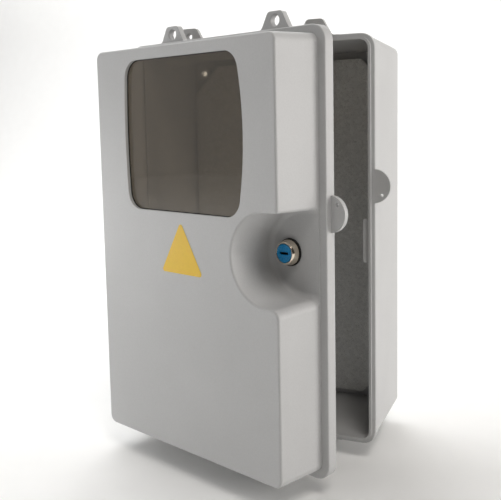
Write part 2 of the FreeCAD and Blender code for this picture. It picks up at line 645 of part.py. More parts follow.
def lock_body():
    """Chromed bezel and barrel in one casting, bored for the plug."""
    lip_r = CAP_R + CAP_GAP
    edge = BEZEL_EDGE
    head = revolved([
        (0, BEZEL_FOOT_Y), (BEZEL_FOOT_R, BEZEL_FOOT_Y), (BEZEL_FOOT_R, BEZEL_FOOT_Y - 2 * edge),
        (BEZEL_FRONT_R + edge, BEZEL_FRONT_Y + 2 * edge), (BEZEL_FRONT_R, BEZEL_FRONT_Y),
        (lip_r + edge, BEZEL_FRONT_Y), (lip_r, BEZEL_FRONT_Y + edge),
        (lip_r, CAP_BACK_Y + CAP_GAP), (0, CAP_BACK_Y + CAP_GAP)])
    barrel = lock_barrel(BARREL_THREAD_R, BEZEL_FOOT_Y, BARREL_END_Y)
    bore = disc_y(PLUG_R + PLUG_GAP, LOCK_X, LOCK_Z, BEZEL_FRONT_Y - 1, BARREL_END_Y + 1)
    return head.fuse(barrel).cut(bore)


def lock_seal_ring():
    """Black ring between the bezel and the recess floor."""
    return ring_y(SEAL_RING_R, BARREL_THREAD_R + HOLE_CLEARANCE, LOCK_X, LOCK_Z, BEZEL_FOOT_Y, SCOOP_FLOOR_Y)


def lock_nut():
    """Hexagon nut with chamfered corners, on the barrel behind the recess floor."""
    end_y = SCOOP_BACK_Y + NUT_THICKNESS
    radius = NUT_FLATS / 2 / math.cos(math.radians(30))
    points = []
    for i in range(6):
        a = math.radians(60 * i)
        points.append((LOCK_X + radius * math.cos(a), LOCK_Z + radius * math.sin(a)))
    hexagon = prism_y(points, SCOOP_BACK_Y, end_y)
    slope = radius - NUT_FLATS / 2
    chamfer_y = end_y - slope * NUT_CHAMFER_SHARE
    round_off = revolved([(0, SCOOP_BACK_Y), (radius, SCOOP_BACK_Y), (radius, chamfer_y),
                          (NUT_FLATS / 2, end_y), (0, end_y)])
    bore = disc_y(BARREL_THREAD_R, LOCK_X, LOCK_Z, SCOOP_BACK_Y - 1, end_y + 1)
    return hexagon.common(round_off).cut(bore)


def wafer_ys():
    """Front planes of the tumblers, spread along the plug."""
    middle = (BEZEL_FOOT_Y + BARREL_END_Y) / 2
    first = middle - (WAFER_COUNT * WAFER_PITCH) / 2
    return [first + i * WAFER_PITCH for i in range(WAFER_COUNT)]


def lock_plug():
    """Plug with keyway and tumbler slots, a shoulder behind the barrel and a square shank."""
    body = disc_y(PLUG_R, LOCK_X, LOCK_Z, CAP_BACK_Y, CAM_FRONT_Y)
    shoulder = disc_y(PLUG_SHOULDER_R, LOCK_X, LOCK_Z, CAM_FRONT_Y - PLUG_SHOULDER_THICKNESS, CAM_FRONT_Y)
    half = SHANK_SIDE / 2
    shank_y = CAM_FRONT_Y + SHANK_LENGTH
    shank = block(LOCK_X - half, LOCK_X + half, CAM_FRONT_Y - PLUG_SHOULDER_THICKNESS, shank_y,
                  LOCK_Z - half, LOCK_Z + half)
    body = fuse_all([body, shoulder, shank])
    keyway = block(LOCK_X - KEYHOLE_WIDTH / 2, LOCK_X + KEYHOLE_WIDTH / 2, CAP_BACK_Y - 1,
                   wafer_ys()[-1] + WAFER_PITCH, LOCK_Z - KEYHOLE_HEIGHT / 2, LOCK_Z + KEYHOLE_HEIGHT / 2)
    slot_w = WAFER_WIDTH / 2 + WAFER_PLAY
    slots = [block(LOCK_X - slot_w, LOCK_X + slot_w, y - WAFER_PLAY, y + WAFER_THICKNESS + WAFER_PLAY,
                   LOCK_Z - PLUG_R - 1, LOCK_Z + PLUG_R + 1) for y in wafer_ys()]
    thread = disc_y(CAM_SCREW_R, LOCK_X, LOCK_Z, shank_y - CAM_SCREW_DEPTH, shank_y + 1)
    return body.cut([keyway, thread] + slots)


def lock_wafers():
    """Tumblers, each with a window for the key."""
    out = []
    for y in wafer_ys():
        plate = block(LOCK_X - WAFER_WIDTH / 2, LOCK_X + WAFER_WIDTH / 2, y, y + WAFER_THICKNESS,
                      LOCK_Z - WAFER_LENGTH / 2, LOCK_Z + WAFER_LENGTH / 2)
        hole = block(LOCK_X - WAFER_WIDTH / 4, LOCK_X + WAFER_WIDTH / 4, y - 1, y + WAFER_THICKNESS + 1,
                     LOCK_Z - KEYHOLE_WIDTH / 4, LOCK_Z + KEYHOLE_WIDTH / 4)
        out.append(plate.cut(hole))
    return out


def lock_cap():
    """Face disc with the keyhole."""
    disc = disc_y(CAP_R, LOCK_X, LOCK_Z, CAP_FRONT_Y, CAP_BACK_Y)
    hole = block(LOCK_X - KEYHOLE_WIDTH / 2, LOCK_X + KEYHOLE_WIDTH / 2, CAP_FRONT_Y - 1, CAP_BACK_Y + 1,
                 LOCK_Z - KEYHOLE_HEIGHT / 2, LOCK_Z + KEYHOLE_HEIGHT / 2)
    return disc.cut(hole)


def lock_cam():
    """Stamped lever that points down when unlocked, with a round tip and a square hole."""
    half = CAM_WIDTH / 2
    tip_z = LOCK_Z - CAM_REACH + half
    top_z = LOCK_Z + CAM_TAIL
    lever = block(LOCK_X - half, LOCK_X + half, CAM_FRONT_Y, CAM_BACK_Y, tip_z, top_z)
    corners = edges_along(lever, Vector(0, 1, 0), lambda p: p.z > LOCK_Z)
    lever = lever.makeFillet(half / 2, corners)
    lever = lever.fuse(disc_y(half, LOCK_X, tip_z, CAM_FRONT_Y, CAM_BACK_Y)).removeSplitter()
    side = SHANK_SIDE / 2 + SHANK_GAP
    hole = block(LOCK_X - side, LOCK_X + side, CAM_FRONT_Y - 1, CAM_BACK_Y + 1, LOCK_Z - side, LOCK_Z + side)
    return lever.cut(hole)


def cam_fasteners():
    """Washer and screw that hold the cam on the plug."""
    washer_y = CAM_BACK_Y + CAM_WASHER_THICKNESS
    washer = ring_y(CAM_WASHER_R, CAM_SCREW_R + HOLE_CLEARANCE, LOCK_X, LOCK_Z, CAM_BACK_Y, washer_y)
    length = washer_y - (CAM_FRONT_Y + SHANK_LENGTH - CAM_SCREW_DEPTH) - SCREW_TIP_GAP
    screw = pan_screw(LOCK_X, LOCK_Z, washer_y, 1, CAM_SCREW_HEAD_R, CAM_SCREW_HEAD_HEIGHT, CAM_SCREW_R,
                      length)
    return washer, screw


# Assembly

def opened(shape):
    """Swing a piece that was drawn with the door closed to the door's rest position, ajar."""
    shape.rotate(Vector(HINGE_X, HINGE_Y, 0), Vector(0, 0, 1), -OPEN_ANGLE)
    return shape


def build():
    """Every node by name."""
    plate_washers, plate_screws = plate_fasteners()
    pane, seal, clamp_washers, clamp_screws = window_parts()
    cam_washer, cam_screw = cam_fasteners()
    fixed = {
        "back_box": back_box(),
        "mounting_plate": mounting_plate(),
        "plate_washers": Part.makeCompound(plate_washers),
        "plate_screws": Part.makeCompound(plate_screws),
        "hinge_pin_upper": hinge_pin(1),
        "hinge_pin_lower": hinge_pin(-1),
    }
    swinging = {
        "door_cover": door_cover(),
        "window_pane": pane,
        "window_gasket": seal,
        "window_washers": Part.makeCompound(clamp_washers),
        "window_screws": Part.makeCompound(clamp_screws),
        "door_gasket": door_gasket(),
        "lock_body": lock_body(),
        "lock_seal_ring": lock_seal_ring(),
        "lock_nut": lock_nut(),
        "lock_plug": lock_plug(),
        "lock_cap": lock_cap(),
        "lock_wafers": Part.makeCompound(lock_wafers()),
        "lock_cam": lock_cam(),
        "cam_washer": cam_washer,
        "cam_screw": cam_screw,
    }
    nodes = dict(fixed)
    for name, shape in swinging.items():
        nodes[name] = opened(shape)
    return nodes


os.makedirs("parts", exist_ok=True)
for node_name, node_shape in build().items():
    node_shape.exportStep(os.path.join("parts", node_name + ".step"))
    print(node_name, len(node_shape.Solids), node_shape.isValid(), round(node_shape.Volume / 1000, 2))
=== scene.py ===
import json
import math

import bmesh
import bpy
from mathutils import Matrix, Vector


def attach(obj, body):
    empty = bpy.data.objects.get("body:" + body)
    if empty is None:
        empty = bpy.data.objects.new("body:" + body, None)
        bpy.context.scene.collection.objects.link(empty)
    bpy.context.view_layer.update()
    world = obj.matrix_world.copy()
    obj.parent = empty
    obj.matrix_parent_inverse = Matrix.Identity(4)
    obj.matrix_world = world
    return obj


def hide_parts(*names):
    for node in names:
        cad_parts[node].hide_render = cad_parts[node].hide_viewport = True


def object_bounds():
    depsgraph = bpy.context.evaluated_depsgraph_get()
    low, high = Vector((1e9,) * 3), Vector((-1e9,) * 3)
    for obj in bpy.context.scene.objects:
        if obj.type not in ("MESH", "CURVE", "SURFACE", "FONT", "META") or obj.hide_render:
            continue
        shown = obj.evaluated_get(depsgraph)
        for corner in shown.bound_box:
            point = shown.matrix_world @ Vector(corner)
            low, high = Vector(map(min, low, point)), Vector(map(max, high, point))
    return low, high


# Electric meter box: a moulded wall box with its deep door ajar. Metres, +X right, +Z up, the front
# faces -Y. Sizes of the object below are real millimetres, turned to metres by MM.
MM = 0.001

# Photograph's frame, and the camera that fits it: place in millimetres, turns in degrees, focal
# length in pixels and the row of the picture that the lens axis meets
IMAGE_WIDTH = 501
IMAGE_HEIGHT = 500
SENSOR_WIDTH = 36.0
CAMERA_PLACE = (323.5, -812.3, 118.2)
CAMERA_YAW = 24.94
CAMERA_PITCH = 6.17
CAMERA_ROLL = -1.15
FOCAL_PIXELS = 760.7
LENS_AXIS_ROW = 205.0

# Plain triangle of film on the door's face: middle of its base in the shut door, and its side
LABEL_X = 0.8
LABEL_Z = -19.2
LABEL_SIDE = 56.0
LABEL_CORNER_R = 2.4
LABEL_THICKNESS = 0.25
LABEL_CORNER_STEPS = 6

# Screw threads, and the spare turns at each end of a rod that are cut off flat
THREAD_SEGMENTS = 64
BARREL_PITCH = 1.0
BARREL_THREAD_DEPTH = 0.5
SCREW_PITCH = 1.0
SCREW_THREAD_DEPTH = 0.4
SPARE_TURNS = 2

# Cross recesses and pan heads, in shares of the head's radius or height; the recess cutter starts
# above the head, and the shank reaches up into it
CROSS_ARM_SHARE = 0.6
CROSS_WIDTH_SHARE = 0.19
CROSS_DEPTH_SHARE = 0.62
CROSS_TAPER = 0.55
CUTTER_TOP_SHARE = 1.2
SHANK_IN_HEAD_SHARE = 0.25
PAN_PROFILE = ((0.0, 1.0), (0.35, 0.985), (0.6, 0.93), (0.8, 0.81), (0.93, 0.63), (1.0, 0.4),
               (1.0, 0.07), (0.96, 0.0))
HEAD_SEGMENTS = 48

# Mesh work
WELD = 0.001  # corners nearer than this are made one
TOUCH = 0.01  # a corner nearer than this to a screw's tip belongs to its end face
REACH_SHARE = 1.01  # points of one screw lie within this share of half its width
CUT_PAST = 1.0  # a cutting solid passes the cut by this much
BARREL_PLAY = 0.02  # the thread's solid clears the plain barrel and its shoulder by this much
SMOOTH_ANGLE = 32.0  # faces that meet below this many degrees are shaded smooth

# Patterns of the finishes, at the size they really have
MOULD_CLOUD = 60.0
MOULD_EDGE_R = 0.5
SHEET_WAVE = 40.0
SPANGLE = 3.0
SPANGLE_GRIT = 0.6
FOAM_CELL = 0.8
CHROME_WAVE = 4.0
FILM_WAVE = 2.5
PAPER_CLOUD = 30.0

# Grains that are really 0.05 to 0.2 and too fine to show, so they are drawn this coarse; turning
# marks are finer upwards than along
MOULD_GRAIN = 1.4
RUBBER_GRAIN = 0.6
CAP_GRAIN = 0.7
PLATING_GRAIN = 0.5
TURNING_MARK = 0.5
TURNING_STRETCH = (1, 1, 6)

# Stage, in metres: the floor runs from in front of the object to the backdrop, and curves up there
FLOOR_GAP = 0.0005
FLOOR_FRONT = -2.5
FLOOR_HALF_WIDTH = 4.0
BACKDROP_Y = 1.6
BACKDROP_HEIGHT = 2.6
BACKDROP_CURVE_R = 0.7
BACKDROP_CURVE_STEPS = 16

# Square soft lights, in metres and watts: name, place, point it faces, side, power and colour
LIGHTS = (
    # over the door's face, for its fall from left to right
    ("front_left", (-1.7, -0.85, 1.35), (0, -0.15, 0), 1.3, 7.8, "ffffff"),
    # faint veil in the pane
    ("left", (-1.6, -0.85, 0.5), (-0.05, -0.2, 0.05), 1.6, 3.2, "ffffff"),
    # small, beside the door, for the bright left half of its face
    ("low_left", (-1.2, -0.25, -0.08), (0, -0.18, -0.05), 0.25, 4.1, "ffffff"),
    # main light from above, for the floor, rims and inside
    ("front_right", (1.1, -1.2, 2.2), (0, -0.1, 0), 1.0, 24, "fffbf6"),
    # side walls of door and base, a little from behind, so that the recess stays shaded
    ("right", (2.0, 0.35, 0.25), (0, -0.1, 0), 1.2, 25.5, "fffcf9"),
    # backdrop alone, up to white
    ("backdrop", (-1.0, 0.65, 1.9), (-1.1, 1.3, 0.3), 1.8, 42, "ffffff"),
)
SURROUNDINGS = 0.04

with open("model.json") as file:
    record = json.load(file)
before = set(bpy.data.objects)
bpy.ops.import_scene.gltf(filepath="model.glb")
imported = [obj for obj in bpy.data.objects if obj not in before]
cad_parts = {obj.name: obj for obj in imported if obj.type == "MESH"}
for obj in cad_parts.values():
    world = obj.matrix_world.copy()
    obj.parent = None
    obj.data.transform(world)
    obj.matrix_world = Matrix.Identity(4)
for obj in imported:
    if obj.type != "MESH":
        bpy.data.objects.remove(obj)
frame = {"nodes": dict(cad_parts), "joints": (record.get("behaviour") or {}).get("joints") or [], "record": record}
cad_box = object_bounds()
scene = bpy.context.scene
hinge = next(j for j in frame["joints"] if j["name"] == "door_hinge")
HINGE_POINT = Vector(hinge["pos_m"])
OPEN_ANGLE = math.radians(-hinge["range_deg"][0])
DOOR_SWING = (Matrix.Translation(HINGE_POINT) @ Matrix.Rotation(-OPEN_ANGLE, 4, "Z")
              @ Matrix.Translation(-HINGE_POINT))


# Places in the closed door

def closed_box(node):
    """Lowest and highest corners of a door node with the door shut."""
    back = DOOR_SWING.inverted()
    points = [back @ v.co for v in frame["nodes"][node].data.vertices]
    low = Vector([min(p[i] for p in points) for i in range(3)])
    high = Vector([max(p[i] for p in points) for i in range(3)])
    return low, high


# Materials

def hex_colour(code):
    """Linear colour of an sRGB hex value."""
    parts = [int(code[i:i + 2], 16) / 255 for i in (0, 2, 4)]
    linear = [c / 12.92 if c <= 0.04045 else ((c + 0.055) / 1.055) ** 2.4 for c in parts]
    return (*linear, 1.0)


def add_node(tree, kind, settings=None, links=None):
    """Add a node, set its sockets or options by name, and link its inputs."""
    node = tree.nodes.new(kind)
    for name, value in (settings or {}).items():
        if isinstance(name, int) or name in node.inputs:
            node.inputs[name].default_value = value
        else:
            setattr(node, name, value)
    for name, source in (links or {}).items():
        tree.links.new(source, node.inputs[name])
    return node


def new_material(name):
    """Material with an empty node tree and its output."""
    material = bpy.data.materials.new(name)
    material.use_nodes = True
    tree = material.node_tree
    tree.nodes.clear()
    output = add_node(tree, "ShaderNodeOutputMaterial")
    return material, tree, output


def moulded_abs():
    """ABS, injection moulded in an eroded tool: light grey, even grain, soft broad highlights."""
    material, tree, output = new_material("moulded_abs")
    place = add_node(tree, "ShaderNodeTexCoord")
    point = place.outputs["Object"]
    grain = add_node(tree, "ShaderNodeTexNoise",
                     {"Scale": 1 / (MOULD_GRAIN * MM), "Detail": 3.0, "Roughness": 0.6},
                     {"Vector": point})
    cloud = add_node(tree, "ShaderNodeTexNoise", {"Scale": 1 / (MOULD_CLOUD * MM), "Detail": 2.0},
                     {"Vector": point})
    tone = add_node(tree, "ShaderNodeMix",
                    {"data_type": "RGBA", 6: hex_colour("b8b8b8"), 7: hex_colour("c0c0c0")},
                    {0: cloud.outputs["Fac"]})
    speck = add_node(tree, "ShaderNodeMapRange",
                     {"From Min": 0.3, "From Max": 0.7, "To Min": 0.965, "To Max": 1.03},
                     {"Value": grain.outputs["Fac"]})
    colour = add_node(tree, "ShaderNodeVectorMath", {"operation": "SCALE"},
                      {0: tone.outputs[2], "Scale": speck.outputs["Result"]})
    rough = add_node(tree, "ShaderNodeMapRange", {"To Min": 0.44, "To Max": 0.58},
                     {"Value": grain.outputs["Fac"]})
    edge = add_node(tree, "ShaderNodeBevel", {"samples": 4, "Radius": MOULD_EDGE_R * MM})
    bump = add_node(tree, "ShaderNodeBump", {"Strength": 0.22, "Distance": 0.08 * MM},
                    {"Height": grain.outputs["Fac"], "Normal": edge.outputs["Normal"]})
    shader = add_node(tree, "ShaderNodeBsdfPrincipled", {"IOR": 1.53, "Specular IOR Level": 0.45},
                      {"Base Color": colour.outputs["Vector"], "Roughness": rough.outputs["Result"],
                       "Normal": bump.outputs["Normal"]})
    tree.links.new(shader.outputs["BSDF"], output.inputs["Surface"])
    return material


def smoked_polycarbonate():
    """Polycarbonate sheet, extruded, tinted brown-grey: glossy, faintly wavy, and dim behind."""
    material, tree, output = new_material("smoked_polycarbonate")
    place = add_node(tree, "ShaderNodeTexCoord")
    wave = add_node(tree, "ShaderNodeTexNoise", {"Scale": 1 / (SHEET_WAVE * MM), "Detail": 2.0},
                    {"Vector": place.outputs["Object"]})
    haze = add_node(tree, "ShaderNodeMapRange", {"To Min": 0.03, "To Max": 0.07},
                    {"Value": wave.outputs["Fac"]})
    bump = add_node(tree, "ShaderNodeBump", {"Strength": 0.2, "Distance": 0.1 * MM},
                    {"Height": wave.outputs["Fac"]})
    shader = add_node(tree, "ShaderNodeBsdfPrincipled",
                      {"Base Color": hex_colour("c6b9a6"), "IOR": 1.58,
                       "Transmission Weight": 0.97},
                      {"Roughness": haze.outputs["Result"], "Normal": bump.outputs["Normal"]})
    tree.links.new(shader.outputs["BSDF"], output.inputs["Surface"])
    return material


def galvanised_steel():
    """Sheet steel, hot-dip galvanised: dull grey zinc with small crystal spangles and dark grit."""
    material, tree, output = new_material("galvanised_steel")
    place = add_node(tree, "ShaderNodeTexCoord")
    point = place.outputs["Object"]
    crystal = add_node(tree, "ShaderNodeTexVoronoi", {"Scale": 1 / (SPANGLE * MM)},
                       {"Vector": point})
    grit = add_node(tree, "ShaderNodeTexNoise",
                    {"Scale": 1 / (SPANGLE_GRIT * MM), "Detail": 4.0, "Roughness": 0.7},
                    {"Vector": point})
    shade = add_node(tree, "ShaderNodeSeparateColor", {}, {"Color": crystal.outputs["Color"]})
    tone = add_node(tree, "ShaderNodeMix",
                    {"data_type": "RGBA", 6: hex_colour("dadad8"), 7: hex_colour("e6e6e4")},
                    {0: shade.outputs["Red"]})
    speck = add_node(tree, "ShaderNodeMapRange",
                     {"From Min": 0.34, "From Max": 0.43, "To Min": 0.45, "To Max": 1.0},
                     {"Value": grit.outputs["Fac"]})
    colour = add_node(tree, "ShaderNodeVectorMath", {"operation": "SCALE"},
                      {0: tone.outputs[2], "Scale": speck.outputs["Result"]})
    rough = add_node(tree, "ShaderNodeMapRange", {"To Min": 0.55, "To Max": 0.7},
                     {"Value": shade.outputs["Green"]})
    bump = add_node(tree, "ShaderNodeBump", {"Strength": 0.3, "Distance": 0.05 * MM},
                    {"Height": grit.outputs["Fac"]})
    shader = add_node(tree, "ShaderNodeBsdfPrincipled", {"Metallic": 1.0},
                      {"Base Color": colour.outputs["Vector"], "Roughness": rough.outputs["Result"],
                       "Normal": bump.outputs["Normal"]})
    tree.links.new(shader.outputs["BSDF"], output.inputs["Surface"])
    return material


def grained(name, dark, light, grain, rough_low, rough_high, metallic=0.0, bump_height=0.03,
            stretch=(1, 1, 1)):
    """Material with one noise grain that moves its colour, roughness and relief."""
    material, tree, output = new_material(name)
    place = add_node(tree, "ShaderNodeTexCoord")
    spread = add_node(tree, "ShaderNodeMapping", {"Scale": stretch},
                      {"Vector": place.outputs["Object"]})
    noise = add_node(tree, "ShaderNodeTexNoise", {"Scale": 1 / (grain * MM), "Detail": 3.0},
                     {"Vector": spread.outputs["Vector"]})
    tone = add_node(tree, "ShaderNodeMix",
                    {"data_type": "RGBA", 6: hex_colour(dark), 7: hex_colour(light)},
                    {0: noise.outputs["Fac"]})
    rough = add_node(tree, "ShaderNodeMapRange", {"To Min": rough_low, "To Max": rough_high},
                     {"Value": noise.outputs["Fac"]})
    bump = add_node(tree, "ShaderNodeBump", {"Strength": 0.3, "Distance": bump_height * MM},
                    {"Height": noise.outputs["Fac"]})
    shader = add_node(tree, "ShaderNodeBsdfPrincipled", {"Metallic": metallic},
                      {"Base Color": tone.outputs[2], "Roughness": rough.outputs["Result"],
                       "Normal": bump.outputs["Normal"]})
    tree.links.new(shader.outputs["BSDF"], output.inputs["Surface"])
    return material


def label_film():
    """Polypropylene film, cast and coated: plain yellow with a faint unevenness, satin."""
    return grained("yellow_polypropylene_film", "e2b600", "ecc204", FILM_WAVE, 0.34, 0.46,
                   bump_height=0.02)


def floor_paper():
    """Paper off a studio roll: matt and nearly white, with a very faint cloud."""
    return grained("pale_paper", "f2f2f1", "f6f6f5", PAPER_CLOUD, 0.85, 0.95)


FINISHES = {
    "case_plastic": moulded_abs(),
    "smoked_pane": smoked_polycarbonate(),
    "galvanised_sheet": galvanised_steel(),
    # EPDM, moulded and extruded: near black, matt, with a fine dusty grain
    "black_rubber": grained("epdm_rubber", "0a0a0a", "161615", RUBBER_GRAIN, 0.7, 0.9),
    # Polyethylene foam, blown and slit: dark grey, matt, with a pitted cut face
    "grey_foam": grained("closed_cell_foam", "2a2b2b", "454645", FOAM_CELL, 0.85, 1.0,
                         bump_height=0.3),
    # Zinc die casting, polished and chromed: sharp mirror with slow waves of the polishing
    # its warm peach tint is a painted reflection of warm surroundings, not the chrome's own colour
    "chrome": grained("chromed_zinc", "e8dac6", "f4e8d8", CHROME_WAVE, 0.06, 0.12, metallic=1.0,
                      bump_height=0.002),
    # Acetal, injection moulded: strong even blue, waxy gloss
    "blue_plastic": grained("blue_acetal", "0074b2", "0096d2", CAP_GRAIN, 0.2, 0.35),
    # Steel, barrel zinc plated and clear passivated: pale, half bright, slightly mottled
    "zinc_steel": grained("zinc_plated_steel", "b9bab4", "d0d0cb", PLATING_GRAIN, 0.28, 0.42,
                          metallic=1.0),
    # Brass, turned and left bare: warm yellow with fine marks of the tool
    "brass": grained("turned_brass", "b08d4a", "cdaa63", TURNING_MARK, 0.25, 0.4, metallic=1.0,
                     stretch=TURNING_STRETCH),
}


def finish_nodes():
    """Give each node's mesh the finish of its slot in the record."""
    for part in frame["record"]["subparts"]:
        mesh = frame["nodes"][part["node"]].data
        mesh.materials.clear()
        mesh.materials.append(FINISHES[part["material_slot"]])


finish_nodes()


# Mesh pieces

def merged(mesh):
    """bmesh of a mesh with the corners at one place made one."""
    bm = bmesh.new()
    bm.from_mesh(mesh)
    bmesh.ops.remove_doubles(bm, verts=bm.verts, dist=WELD * MM)
    return bm


def loose_boxes(node, turn):
    """Lowest and highest corner of each loose part of a node, after a turn.

    They are in order from left to right and upwards, so that each run gives the same."""
    bm = merged(frame["nodes"][node].data)
    bm.transform(turn)
    left = set(bm.verts)
    boxes = []
    while left:
        edge = [left.pop()]
        found = list(edge)
        while edge:
            near = {e.other_vert(v) for v in edge for e in v.link_edges} & left
            left -= near
            edge = list(near)
            found += edge
        boxes.append((Vector([min(v.co[i] for v in found) for i in range(3)]),
                      Vector([max(v.co[i] for v in found) for i in range(3)])))
    bm.free()
    return sorted(boxes, key=lambda box: [round(c / MM, 2) for c in box[0]])


def mesh_of(bm, name):
    """Mesh of a bmesh, with its faces turned outwards."""
    bmesh.ops.recalc_face_normals(bm, faces=bm.faces)
    mesh = bpy.data.meshes.new(name)
    bm.to_mesh(mesh)
    bm.free()
    return mesh


def turned(profile, segments=HEAD_SEGMENTS):
    """Solid of revolution about Z from (radius, height) points, first and last on the axis."""
    bm = bmesh.new()
    rings = []
    for r, z in profile:
        count = segments if r else 1
        rings.append([bm.verts.new((r * math.cos(2 * math.pi * i / segments),
                                    r * math.sin(2 * math.pi * i / segments), z))
                      for i in range(count)])
    for a, b in zip(rings, rings[1:]):
        for i in range(segments):
            j = (i + 1) % segments
            corners = [a[i % len(a)], a[j % len(a)], b[j % len(b)], b[i % len(b)]]
            # A corner on the axis counts once
            bm.faces.new(dict.fromkeys(corners))
    return mesh_of(bm, "turned")


def threaded(crest, root, pitch, low, high):
    """Rod along Z with a V thread that climbs one pitch a turn, cut flat at both ends."""
    bm = bmesh.new()
    rows = 2 * (math.ceil((high - low) / pitch) + 2 * SPARE_TURNS)
    grid = []
    for j in range(rows):
        r = root if j % 2 else crest
        grid.append([bm.verts.new((r * math.cos(2 * math.pi * i / THREAD_SEGMENTS),
                                   r * math.sin(2 * math.pi * i / THREAD_SEGMENTS),
                                   low + pitch * (j / 2 - SPARE_TURNS + i / THREAD_SEGMENTS)))
                     for i in range(THREAD_SEGMENTS)])
    last = THREAD_SEGMENTS - 1
    for j in range(rows - 1):
        for i in range(last):
            bm.faces.new((grid[j][i], grid[j][i + 1], grid[j + 1][i + 1], grid[j + 1][i]))
        if j + 3 < rows:
            bm.faces.new((grid[j][last], grid[j + 2][0], grid[j + 3][0], grid[j + 1][last]))
    for height, side in ((low, -1), (high, 1)):
        cut = bmesh.ops.bisect_plane(bm, geom=bm.verts[:] + bm.edges[:] + bm.faces[:],
                                     plane_co=(0, 0, height), plane_no=(0, 0, side),
                                     clear_outer=True)
        rim = [g for g in cut["geom_cut"] if isinstance(g, bmesh.types.BMEdge)]
        bmesh.ops.contextual_create(bm, geom=rim)
    return mesh_of(bm, "threaded")


def prism(outline, top_z, bottom_z, taper=1.0):
    """Upright prism of an outline, its bottom scaled by a taper."""
    bm = bmesh.new()
    top = [bm.verts.new((x, y, top_z)) for x, y in outline]
    bottom = [bm.verts.new((x * taper, y * taper, bottom_z)) for x, y in outline]
    bm.faces.new(top)
    bm.faces.new(bottom[::-1])
    for i in range(len(outline)):
        j = (i + 1) % len(outline)
        bm.faces.new((top[i], bottom[i], bottom[j], top[j]))
    return mesh_of(bm, "prism")


def carved(mesh, tool, operation):
    """New mesh: one solid joined with, cut by or held to another."""
    solids = [bpy.data.objects.new("solid", m) for m in (mesh, tool)]
    for solid in solids:
        scene.collection.objects.link(solid)
    join = solids[0].modifiers.new("join", "BOOLEAN")
    join.object = solids[1]
    join.operation = operation
    join.solver = "EXACT"
    bpy.context.view_layer.update()
    joined = solids[0].evaluated_get(bpy.context.evaluated_depsgraph_get())
    result = bpy.data.meshes.new_from_object(joined)
    for solid in solids:
        spent = solid.data
        bpy.data.objects.remove(solid)
        bpy.data.meshes.remove(spent)
    return result


def add_piece(name, mesh, finish, body, node=None):
    """Object of a finished mesh that rides on a body and may stand for a CAD node."""
    mesh.materials.clear()
    mesh.materials.append(finish)
    mesh.polygons.foreach_set("use_smooth", [True] * len(mesh.polygons))
    mesh.set_sharp_from_angle(angle=math.radians(SMOOTH_ANGLE))
    piece = bpy.data.objects.new(name, mesh)
    scene.collection.objects.link(piece)
    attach(piece, body)
    if node:
        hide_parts(node)


def cross_screw(head_r, head_height, shank_r, length):
    """Pan-head screw along Z, its head's seat at zero: domed head, cross recess and thread."""
    profile = [(r * head_r, z * head_height) for r, z in PAN_PROFILE] + [(0, 0)]
    head = turned(profile)
    shank = threaded(shank_r, shank_r - SCREW_THREAD_DEPTH * MM, SCREW_PITCH * MM, -length,
                     head_height * SHANK_IN_HEAD_SHARE)
    screw = carved(head, shank, "UNION")
    a, w = CROSS_ARM_SHARE * head_r, CROSS_WIDTH_SHARE * head_r
    arms = [(a, w), (w, w), (w, a), (-w, a), (-w, w), (-a, w),
            (-a, -w), (-w, -w), (-w, -a), (w, -a), (w, -w), (a, -w)]
    depth = head_height * CROSS_DEPTH_SHARE
    cutter = prism(arms, head_height * CUTTER_TOP_SHARE, head_height - depth, CROSS_TAPER)
    return carved(screw, cutter, "DIFFERENCE")


def shank_radius(node, turn, corners, tip):
    """Radius of a node's round shank at its tip, after a turn."""
    middle = (corners[0] + corners[1]) / 2
    reach = (corners[1].x - corners[0].x) / 2
    points = [turn @ v.co for v in frame["nodes"][node].data.vertices]
    flat = [Vector((p.x - middle.x, p.z - middle.z)).length
            for p in points if abs(p.y - tip) < TOUCH * MM]
    return max(r for r in flat if r < REACH_SHARE * reach)


def add_screws(node, body, seat_node, facing, swing):
    """One mesh of cross-recess screws in the place of a node's plain ones.

    The heads sit on the seat node and look to the front where facing is -1, to the back where 1."""
    boxes = loose_boxes(node, swing.inverted())
    low, high = boxes[0]
    seat_low, seat_high = loose_boxes(seat_node, swing.inverted())[0]
    if facing < 0:
        top, seat, tip = low.y, seat_low.y, high.y
    else:
        top, seat, tip = high.y, seat_high.y, low.y
    head_r = (high.x - low.x) / 2
    shank_r = shank_radius(node, swing.inverted(), boxes[0], tip)
    screw = cross_screw(head_r, abs(top - seat), shank_r, abs(tip - seat))
    stand = Matrix.Rotation(math.radians(-90 * facing), 4, "X")
    bm = bmesh.new()
    for box in boxes:
        one = screw.copy()
        middle = (box[0] + box[1]) / 2
        one.transform(swing @ Matrix.Translation((middle.x, seat, middle.z)) @ stand)
        bm.from_mesh(one)
        bpy.data.meshes.remove(one)
    add_piece("cross_" + node, mesh_of(bm, node), FINISHES["zinc_steel"], body, node)


def add_lock_body():
    """Chromed lock body with its barrel's thread cut."""
    bm = merged(frame["nodes"]["lock_body"].data)
    bm.transform(DOOR_SWING.inverted())
    body = mesh_of(bm, "lock_body")
    low, high = closed_box("lock_body")
    middle = (low + high) / 2
    width = high.x - low.x
    barrel_r = shank_radius("lock_body", DOOR_SWING.inverted(), (low, high), high.y)
    shoulder = closed_box("lock_seal_ring")[1].y
    play = BARREL_PLAY * MM
    past = CUT_PAST * MM
    rod = threaded(barrel_r + play, barrel_r - BARREL_THREAD_DEPTH * MM, BARREL_PITCH * MM,
                   shoulder, high.y + past)
    head = turned([(0, low.y - past), (width, low.y - past), (width, shoulder + play),
                   (0, shoulder + play)])
    tool = carved(head, rod, "UNION")
    tool.transform(Matrix.Translation((middle.x, 0, middle.z))
                   @ Matrix.Rotation(math.radians(-90), 4, "X"))
    lock = carved(body, tool, "INTERSECT")
    lock.transform(DOOR_SWING)
    add_piece("threaded_lock_body", lock, FINISHES["chrome"], "door", "lock_body")


